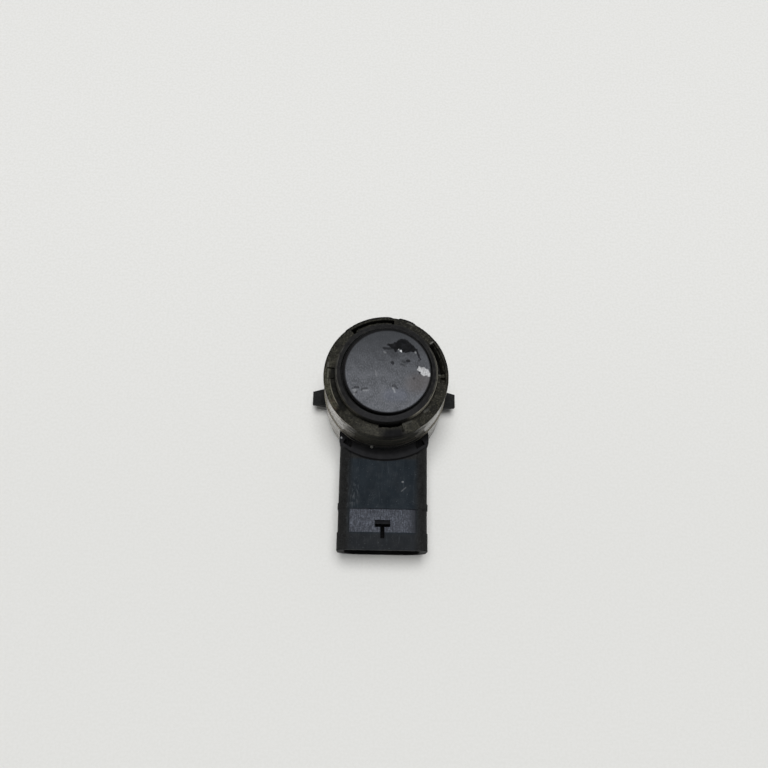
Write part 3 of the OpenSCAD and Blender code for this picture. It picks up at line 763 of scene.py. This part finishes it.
def wall_look():
    look = Look("smooth_wall", {"Specular IOR Level": 0.5})
    aside = look.math("ABSOLUTE", look.x)
    # The near side's pale tone is dust and painted reflection of the floor, painted brighter on the left
    # than on the right
    dust = look.mix(look.ramp(look.x, -9, 9), tone(190, 184, 174), tone(96, 92, 80))
    lines = look.noise(0.5, 4, (14, 14, 0.8))
    pale_dust_and_light = look.ramp(lines, 0.36, 0.62, 0.4, 0.85)
    near_side = look.mix(pale_dust_and_light, tone(30, 29, 27), dust)
    far_side = look.mix(pale_dust_and_light, tone(22, 22, 22), tone(36, 35, 33))
    film_and_reflection = look.mix(look.ramp(look.y, -3.5, 1.5), near_side, far_side)
    drift = look.math("ADD", aside, look.ramp(look.noise(1.2, 3), 0.2, 0.8, -1.2, 1.2))
    bare = look.strongest(look.ramp(drift, 5.4, 8.6), look.ramp(look.y, -3.0, 0.0))
    caked = look.mix(look.ramp(lines, 0.4, 0.6), tone(30, 29, 25), tone(66, 64, 56))
    # Painted shade: the wall's foot at the front is painted near black under the ring
    foot = look.product(look.ramp(look.z, ring_z + 1.8, ring_z + 0.8), look.ramp(aside, 4.5, 2.0))
    foot_shaded = look.mix(foot, look.mix(bare, caked, film_and_reflection), tone(9, 9, 9))
    # Painted shadow: a brown line is painted along the joint below the ring, in front
    seam = look.product(
        look.between(look.z, ring_z - 0.05, ring_z + 0.45, 0.1), look.ramp(look.y, -2.0, -4.0), 0.75
    )
    seamed = look.mix(seam, foot_shaded, tone(32, 28, 24))
    smeared = look.ramp(look.noise(0.5, 4, (14, 14, 0.7), shift=5), 0.38, 0.64, 0.12, 0.4)
    dull = look.strongest(look.ramp(bare, 1.0, 0.0, 0.0, 0.4), look.ramp(look.y, -1.0, 4.0, 0.0, 0.2))
    roughness = look.math("ADD", smeared, dull)
    return look.finish(seamed, roughness, lines, 0.006)


def clean_wall(place):
    """Whether the dust cake leaves this place of the ring's wall bare."""
    ragged = noise.noise(place / 2) + 0.4 * noise.noise(place / 0.5)
    from_front = abs(math.degrees(math.atan2(place.x, -place.y)))
    on_side = from_front > FRONT_DUST + FRONT_RAGGED * ragged
    on_wall = place.xy.length > ring_r - WALL_SKIN and place.z < ring_top - WALL_TOP
    return on_wall and (on_side or place.z < FRONT_CLEAN_Z + ragged)


def dusty_ring():
    degrees, in_pocket = ring_columns()
    angle = np.radians(degrees)
    count = len(angle)
    around = np.stack([ring_r * np.cos(angle), ring_r * np.sin(angle)], axis=1)
    near_side = smooth(around[:, 1], 0, -4)
    worn = plateau(degrees % 360, WORN_LIP) - plateau(degrees % 360, LIP_CRUST)
    uneven = LIP_UNEVEN * np.abs(rough(around, 0.8, 2))
    lip_top = ring_top - uneven

    def floor_at(r):
        """Height of the pockets' floors and of the lands between them at one radius."""
        full = packed_dirt(degrees, np.full(count, r))
        lumps = rough(np.stack([r * np.cos(angle), r * np.sin(angle)], axis=1), 0.5, 8)
        uneven_dirt = lumps * np.where(full > 0.05, DIRT_LUMPS, BARE_LUMPS)
        dirt = pocket_z + full * (ring_top - pocket_z) + uneven_dirt
        return np.minimum(np.where(in_pocket, dirt, ring_top + BARE_LUMPS * lumps), lip_top)

    rows = []

    def row(r, z):
        rows.append((np.broadcast_to(r, count).astype(float), np.broadcast_to(z, count).astype(float)))

    row(skirt_r, ring_z)
    row(ring_r + FOOT_DUST * near_side - JOINT_CHAMFER, ring_z)
    for z in np.linspace(ring_z + JOINT_CHAMFER, ring_top - LIP_ROUND, WALL_ROWS):
        foot = FOOT_DUST * smooth(z, ring_top - 2, ring_z + 0.5) * near_side
        row(ring_r + foot - worn * smooth(ring_top - z, *WEAR_FADE), z)
    for turn in np.linspace(0, math.pi / 2, 6)[1:]:
        row(
            ring_r - worn - LIP_ROUND * (1 - math.cos(turn)),
            ring_top - LIP_ROUND * (1 - math.sin(turn)) - uneven * math.sin(turn),
        )
    beside_lip = floor_at(lip_r)
    for turn in np.linspace(0, math.pi / 2, 5):
        drop = np.where(in_pocket, INNER_ROUND * (1 - math.cos(turn)), 0)
        row(lip_r + INNER_ROUND * (1 - math.sin(turn)), np.maximum(lip_top - drop, beside_lip))
    edge = np.maximum(lip_top - np.where(in_pocket, INNER_ROUND, 0), beside_lip)
    for share in (0.4, 0.8):
        row(lip_r, edge * (1 - share) + beside_lip * share)
    for share in np.linspace(0, 1, FLOOR_ROWS):
        r = lip_r + (ring_bore_r - lip_r) * share
        row(r, floor_at(r) - BORE_DROP * smooth(share, BORE_SHARE, 1))
    row(ring_bore_r, shoulder_z)
    row(skirt_r, shoulder_z)

    radius = np.array([r for r, z in rows])
    height = np.minimum(np.array([z for r, z in rows]), ring_top)
    ring = piece("dusty_ring", turned(radius, height, angle), ring_look(), "front_ring")
    ring.data.materials.append(wall_look())
    for face in ring.data.polygons:
        face.material_index = int(clean_wall(face.center / MM))
    places = vertices(ring)
    turn = np.degrees(np.arctan2(places[:, 1], places[:, 0]))
    store(ring, "packed", packed_dirt(turn, np.hypot(places[:, 0], places[:, 1])) > 0.1)


# Housing with the barrel and the connector

EDGE_R = 0.09
# Faces whose normals rise less than this belong to the barrel's wall
WALL_RISE = 0.3
# Pale specks on the housing's top: start, end, width and strength
CONNECTOR_SPECKS = [
    ((3.6, -17.85), (3.66, -17.85), 0.32, 0.45),
    ((3.4, -19.6), (4.2, -18.9), 0.2, 0.16),
    ((-8.08, -9.75), (-8.04, -9.85), 0.3, 0.8),
]


def housing_look():
    look = Look("worn_black_plastic", {"Specular IOR Level": 0.09})
    near_side = look.ramp(look.y, -4, -7)
    aside = look.math("ABSOLUTE", look.x)
    broad = look.mix(look.ramp(look.noise(1.5, 4), 0.3, 0.7), tone(20, 20, 20), tone(29, 29, 29))
    body = look.mix(look.ramp(look.noise(0.3, 4, shift=8), 0.4, 0.75, 0, 0.5), broad, tone(47, 48, 48))
    on_top = look.ramp(look.z, shroud_top - 0.5, shroud_top - 0.1)
    on_connector = look.ramp(look.y, -flange_r + 0.6, -flange_r - 0.1)
    flat_top = look.product(on_top, on_connector, look.ramp(aside, 7.0, 5.4))
    # Painted sheen: the connector's flat top is bluish grey over the dark plastic, unlike the sides of the
    # same moulding
    blue_top_sheen = look.mix(look.ramp(look.noise(2.2, 4, (1, 2, 1)), 0.3, 0.7), tone(20, 27, 33), tone(29, 36, 42))
    past_recess = look.ramp(look.y, -recess_end + 0.2, -recess_end - 0.6, 0.0, 0.7)
    plain = look.mix(past_recess, blue_top_sheen, tone(30, 31, 33))
    topped = look.mix(flat_top, body, plain)
    scuffs = look.product(on_top, on_connector, look.ramp(look.noise(0.35, 4, (1, 7, 1)), 0.56, 0.72))
    rubbed = look.mix(look.product(scuffs, 0.1), topped, tone(92, 98, 104))
    recess = look.product(
        look.between(look.y, -recess_end, -recess_start, 0.04),
        look.between(look.x, -recess_half_w, recess_half_w, 0.04),
        look.between(look.z, shroud_top - recess_depth - 0.15, shroud_top - recess_depth + 0.15, 0.05),
    )
    streaks = look.product(
        look.ramp(look.noise(0.2, 4, (1, 5, 1), shift=3), 0.32, 0.68, 0.2, 1.0),
        look.ramp(look.noise(0.26, 3, shift=6), 0.34, 0.66, 0.3, 1.0),
    )
    fading = look.ramp(look.math("ADD", look.x, look.product(look.noise(0.8, 2, (1, 4, 1)), 1.6)), 7.0, 5.0)
    band = look.mix(look.product(streaks, fading), tone(44, 46, 51), tone(92, 96, 106))
    banded = look.mix(recess, rubbed, band)
    scuffed_side = look.product(
        look.between(look.x, -5.9, -4.7, 0.6), look.between(look.y, -recess_start, -18.0, 1.5)
    )
    dulled = look.product(scuffed_side, look.ramp(look.noise(0.22, 4, (1, 4, 1), shift=5), 0.46, 0.68), 0.2)
    cluster = look.stroke((-1.9, -20.0), (-2.05, -21.0), 1.3)
    crumbs = look.product(
        look.math("ADD", look.ramp(look.noise(0.22, 2, shift=1), 0.62, 0.74), look.product(cluster, 0.25)),
        look.ramp(look.noise(0.2, 2, shift=11), 0.45, 0.6),
    )
    dusted = look.product(on_top, on_connector, look.strongest(dulled, look.product(crumbs, 0.2)))
    marked = look.mix(dusted, banded, tone(136, 140, 144))
    # Painted shade: the flange top in front of the head is painted darker, near black beside the barrel
    seat_shade = look.product(
        look.between(look.off_axis, barrel_r, flange_r + 0.02, 0.05),
        look.ramp(look.z, shroud_top, shroud_top + 0.2),
        near_side,
    )
    outwards = look.ramp(look.off_axis, barrel_r + 0.8, corner_pocket_r)
    seat_shade_tone = look.mix(outwards, tone(7, 7, 9), tone(27, 27, 29))
    seated = look.mix(seat_shade, marked, seat_shade_tone)
    for start, end, width, strength in CONNECTOR_SPECKS:
        mark = look.product(look.stroke(start, end, width), on_top, strength)
        seated = look.mix(mark, seated, tone(150, 152, 154))
    # Painted shade: the moat, the corner pockets and the mouth's lower front are painted near black
    hollow_shade = look.product(
        look.between(look.off_axis, barrel_r - 0.02, corner_pocket_r + 0.05, 0.05),
        look.between(look.z, moat_floor - 1.6, barrel_top - 0.25, 0.1),
        near_side,
    )
    bar_ledge = look.product(
        look.between(look.x, -bar_half_w, bar_half_w, 0.04),
        look.between(look.y, -recess_end, -recess_start, 0.04),
        look.ramp(look.z, shroud_top - recess_depth - 0.1, shroud_top - recess_depth - bar_ledge_depth),
    )
    mouth = look.product(
        look.ramp(look.y, -reach + 0.14, -reach + 0.06),
        look.ramp(look.z, shroud_top - 0.2, shroud_top - 0.4),
    )
    socket = look.product(
        look.between(look.x, -socket_half_w, socket_half_w, 0.05),
        look.between(look.z, socket_low, socket_high, 0.05),
        look.ramp(look.y, -socket_floor + 0.1, -socket_floor - 0.1),
    )
    lidded = look.mix(bar_ledge, seated, tone(15, 16, 19))
    depth_tone = look.mix(look.ramp(look.y, -reach, -reach + 5), tone(7, 7, 8), tone(20, 20, 21))
    cored = look.mix(socket, lidded, depth_tone)
    shaded = look.mix(look.strongest(hollow_shade, mouth), cored, tone(7, 7, 8))
    # Painted light: the barrel's side ledges are painted pale, in a dust colour, where the lamp's light is
    # blocked
    ledge = look.product(
        look.between(look.off_axis, ring_r - 0.2, barrel_r - 0.02, 0.03),
        look.ramp(look.z, barrel_top - 0.3, barrel_top - 0.05),
        look.ramp(aside, 6.0, 9.0),
        look.ramp(look.y, 1.0, -2.0),
    )
    pale_dust_and_light = look.mix(look.product(ledge, 0.9), shaded, tone(150, 145, 132))
    wear = look.product(look.attribute("edge"), look.ramp(look.noise(1.1, 3, shift=2), 0.38, 0.66), 0.2)
    worn = look.mix(wear, pale_dust_and_light, tone(88, 90, 92))
    # Painted shadow: a near-black line along the flange's step onto the connector's top
    step = look.product(
        look.between(look.off_axis, flange_r - 0.1, flange_r + 0.22, 0.05),
        look.ramp(look.z, shroud_top - 0.13, shroud_top - 0.07),
        near_side,
    )
    colour = look.mix(look.product(step, 0.9), worn, tone(6, 6, 7))
    roughness = look.ramp(look.noise(1.2, 4), 0.3, 0.7, 0.6, 0.74)
    return look.finish(colour, roughness, look.noise(0.14, 3), 0.008)


def moulded_housing():
    housing = piece("moulded_housing", softened("housing", EDGE_R), housing_look(), "housing")
    housing.data.materials.append(wall_look())
    for face in housing.data.polygons:
        off_axis = face.center.xy.length / MM
        if abs(off_axis - barrel_r) < WALL_SKIN and abs(face.normal.z) < WALL_RISE:
            face.material_index = 1
    keep_flats(housing)


# A lump of dust on the barrel's edge below the front ring

LUMP_AT = (-2.3, -11.42)
LUMP_R = 0.28
# Height of its middle over the edge, swelling of its surface and its length against its width
LUMP_MIDDLE = 0.58 * LUMP_R
LUMP_SWELL = 0.45
LUMP_LENGTH = 1.15


def lump_look():
    look = Look("pale_dust", {"Roughness": 0.9, "Specular IOR Level": 0.1})
    colour = look.mix(look.noise(0.2), tone(76, 76, 74), tone(116, 116, 112))
    return look.finish(colour, None, look.noise(0.08, 3), 0.02)


def dust_lump():
    shape = bmesh.new()
    bmesh.ops.create_icosphere(shape, subdivisions=4, radius=LUMP_R)
    middle = Vector((*LUMP_AT, barrel_top + LUMP_MIDDLE))
    for vertex in shape.verts:
        swell = 1 + LUMP_SWELL * noise.noise(vertex.co * 4)
        place = vertex.co * swell
        place.y *= LUMP_LENGTH
        place.z = max(place.z, -LUMP_MIDDLE)
        vertex.co = (middle + place) * MM
    lump = piece("dust_lump", shape, lump_look())


# Terminals and the back cover, as softened copies of their nodes

TERMINAL_EDGE_R = 0.05
COVER_EDGE_R = 0.06


def tin_look():
    look = Look("tinned_brass", {"Metallic": 1.0})
    drawn = look.noise(0.12, 3, (1, 12, 1))
    colour = look.mix(look.ramp(drawn, 0.3, 0.7), tone(182, 178, 165), tone(212, 209, 198))
    return look.finish(colour, look.ramp(drawn, 0.3, 0.7, 0.26, 0.4), drawn, 0.004)


def cover_look():
    look = Look("cover_plastic", {"Specular IOR Level": 0.35})
    colour = look.mix(look.ramp(look.noise(1.4, 4), 0.3, 0.7), tone(22, 22, 23), tone(33, 33, 34))
    wear = look.product(look.attribute("edge"), look.ramp(look.noise(1.3), 0.4, 0.65), 0.3)
    worn = look.mix(wear, colour, tone(80, 80, 80))
    roughness = look.ramp(look.noise(1), 0.3, 0.7, 0.5, 0.65)
    return look.finish(worn, roughness, look.noise(0.18, 4), 0.012)


def terminals():
    look = tin_look()
    for name in ("supply_terminal", "data_terminal", "ground_terminal"):
        keep_flats(piece("tinned_" + name, softened(name, TERMINAL_EDGE_R), look, name))


def back_lid():
    keep_flats(piece("back_lid", softened("back_cover", COVER_EDGE_R), cover_look(), "back_cover"))


# Pieces inside the barrel keep their solids: two tones, roughness, metal and grain for each slot
INNER_LOOKS = {
    "piezo_ceramic": ((206, 197, 173), (224, 216, 195), 0.45, 0, 0.5),
    "damping_foam": ((66, 66, 70), (94, 94, 98), 0.9, 0, 0.3),
    "carrier_plastic": ((186, 180, 158), (204, 199, 178), 0.5, 0, 0.9),
    "tinned_pin": ((172, 172, 166), (206, 206, 202), 0.32, 1, 0.3),
    "signal_insulation": ((146, 38, 30), (176, 56, 44), 0.38, 0, 0.4),
    "ground_insulation": ((30, 30, 31), (46, 46, 47), 0.38, 0, 0.4),
    "board_laminate": ((16, 66, 36), (30, 94, 54), 0.35, 0, 0.8),
    "ferrite": ((52, 52, 54), (70, 70, 72), 0.7, 0, 0.25),
    "bobbin_plastic": ((176, 166, 126), (194, 186, 148), 0.5, 0, 0.7),
    "enamelled_copper": ((150, 78, 40), (190, 112, 64), 0.35, 1, 0.12),
    "chip_mould": ((22, 22, 24), (34, 34, 36), 0.6, 0, 0.3),
    "capacitor_mould": ((178, 130, 36), (202, 152, 54), 0.5, 0, 0.4),
    "capacitor_ceramic": ((150, 128, 96), (180, 156, 122), 0.5, 0, 0.3),
    "resistor_ceramic": ((30, 30, 33), (60, 60, 62), 0.5, 0, 0.3),
}


def inner_look(slot):
    first, second, roughness, metallic, grain = INNER_LOOKS[slot]
    look = Look(slot, {"Metallic": metallic})
    pattern = look.noise(grain, 4)
    colour = look.mix(look.ramp(pattern, 0.3, 0.7), tone(*first), tone(*second))
    shine = look.ramp(pattern, 0.3, 0.7, roughness - 0.06, roughness + 0.06)
    return look.finish(colour, shine, pattern, 0.01)


def inner_pieces():
    made = {}
    for node, slot in slot_of.items():
        if slot in INNER_LOOKS:
            made.setdefault(slot, inner_look(slot))
            mesh = frame["nodes"][node].data
            mesh.materials.clear()
            mesh.materials.append(made[slot])


# Studio

FLOOR_SIDE = 3000
FLOOR_DROP = 0.02
# Strength of the light all round, of the soft lamp overhead and of the pale surroundings that are seen
FILL = 0.12
LAMP = 19.3
SURROUNDINGS = 0.78
# Heights of the sky where the surroundings begin and are full
HORIZON = (0.55, 0.25)
# Painted shade: the floor gets paler from the first to the second of these places along Y
FLOOR_FADE = (-40, 60)
# Direction of the lamp, and the angles from it where its edge starts and ends
LAMP_AXIS = Vector((0.0, 0.09, 0.996)).normalized()
LAMP_CORE = math.radians(8)
LAMP_EDGE = math.radians(16)

# Camera, fitted to the photograph
CAMERA_AIM = Vector((0, -8, 12))
CAMERA_ELEVATION = math.radians(73.244)
CAMERA_AZIMUTH = math.radians(-3.685)
CAMERA_ROLL = math.radians(4.852)
CAMERA_DISTANCE = 147.122
CAMERA_SHIFT = -0.05
CAMERA_LIFT = 8.578
FOCAL_PIXELS = 776.816
FRAME_PIXELS = 768
SENSOR = 36


def studio_light():
    """A soft round lamp overhead, weak light all round and pale surroundings near the horizon."""
    world = bpy.data.worlds.new("studio_light")
    bpy.context.scene.world = world
    world.use_nodes = True
    nodes = Nodes(world.node_tree)
    direction = nodes.node("TexCoord").outputs["Generated"]
    towards_lamp = nodes.vector("DOT_PRODUCT", direction, LAMP_AXIS).outputs["Value"]
    lamp = nodes.ramp(towards_lamp, math.cos(LAMP_EDGE), math.cos(LAMP_CORE), 0.0, LAMP)
    height = nodes.node("SeparateXYZ", {0: direction}).outputs["Z"]
    path = nodes.node("LightPath").outputs
    seen = nodes.strongest(path["Is Camera Ray"], path["Is Glossy Ray"], path["Is Transmission Ray"])
    pale = nodes.product(seen, nodes.ramp(height, *HORIZON, 0.0, SURROUNDINGS - FILL))
    background = world.node_tree.nodes["Background"]
    background.inputs["Color"].default_value = (1, 1, 1, 1)
    total = nodes.math("ADD", nodes.math("ADD", lamp, pale), FILL)
    nodes.feed(background.inputs["Strength"], total)


def pale_floor():
    shape = bmesh.new()
    bmesh.ops.create_grid(shape, x_segments=1, y_segments=1, size=FLOOR_SIDE * MM / 2)
    mesh = bpy.data.meshes.new("pale_floor")
    shape.to_mesh(mesh)
    shape.free()
    look = Look("pale_card", {"Roughness": 0.8, "Specular IOR Level": 0.2})
    grain = look.mix(look.ramp(look.noise(0.5, 2), 0.3, 0.7), tone(222, 222, 219), tone(228, 228, 226))
    # Painted shade: the floor is darker towards -Y
    near_shade_tone = look.mix(0.5, grain, tone(216, 216, 213))
    colour = look.mix(look.ramp(look.y, *FLOOR_FADE), near_shade_tone, grain)
    mesh.materials.append(look.finish(colour, None, look.noise(0.4, 3), 0.01))
    floor = bpy.data.objects.new("pale_floor", mesh)
    floor.location.z = -FLOOR_DROP * MM
    bpy.context.scene.collection.objects.link(floor)


def photo_camera():
    flat = math.cos(CAMERA_ELEVATION)
    back = Vector((
        math.sin(CAMERA_AZIMUTH) * flat,
        -math.cos(CAMERA_AZIMUTH) * flat,
        math.sin(CAMERA_ELEVATION),
    ))
    level_right = Vector((math.cos(CAMERA_AZIMUTH), math.sin(CAMERA_AZIMUTH), 0))
    level_up = back.cross(level_right)
    right = level_right * math.cos(CAMERA_ROLL) + level_up * math.sin(CAMERA_ROLL)
    up = level_up * math.cos(CAMERA_ROLL) - level_right * math.sin(CAMERA_ROLL)
    eye = CAMERA_AIM + back * CAMERA_DISTANCE + right * CAMERA_SHIFT + up * CAMERA_LIFT
    lens = bpy.data.cameras.new("photo_camera")
    lens.sensor_fit = "HORIZONTAL"
    lens.sensor_width = SENSOR
    lens.lens = SENSOR * FOCAL_PIXELS / FRAME_PIXELS
    lens.clip_start = MM
    camera = bpy.data.objects.new("photo_camera", lens)
    turn = Matrix((right, up, back)).transposed().to_4x4()
    camera.matrix_world = Matrix.Translation(eye * MM) @ turn
    bpy.context.scene.collection.objects.link(camera)
    bpy.context.scene.camera = camera


bpy.context.scene.view_settings.view_transform = "Standard"
sensing_cup()
soft_ring()
dusty_ring()
moulded_housing()
dust_lump()
terminals()
back_lid()
inner_pieces()
studio_light()
pale_floor()
photo_camera()
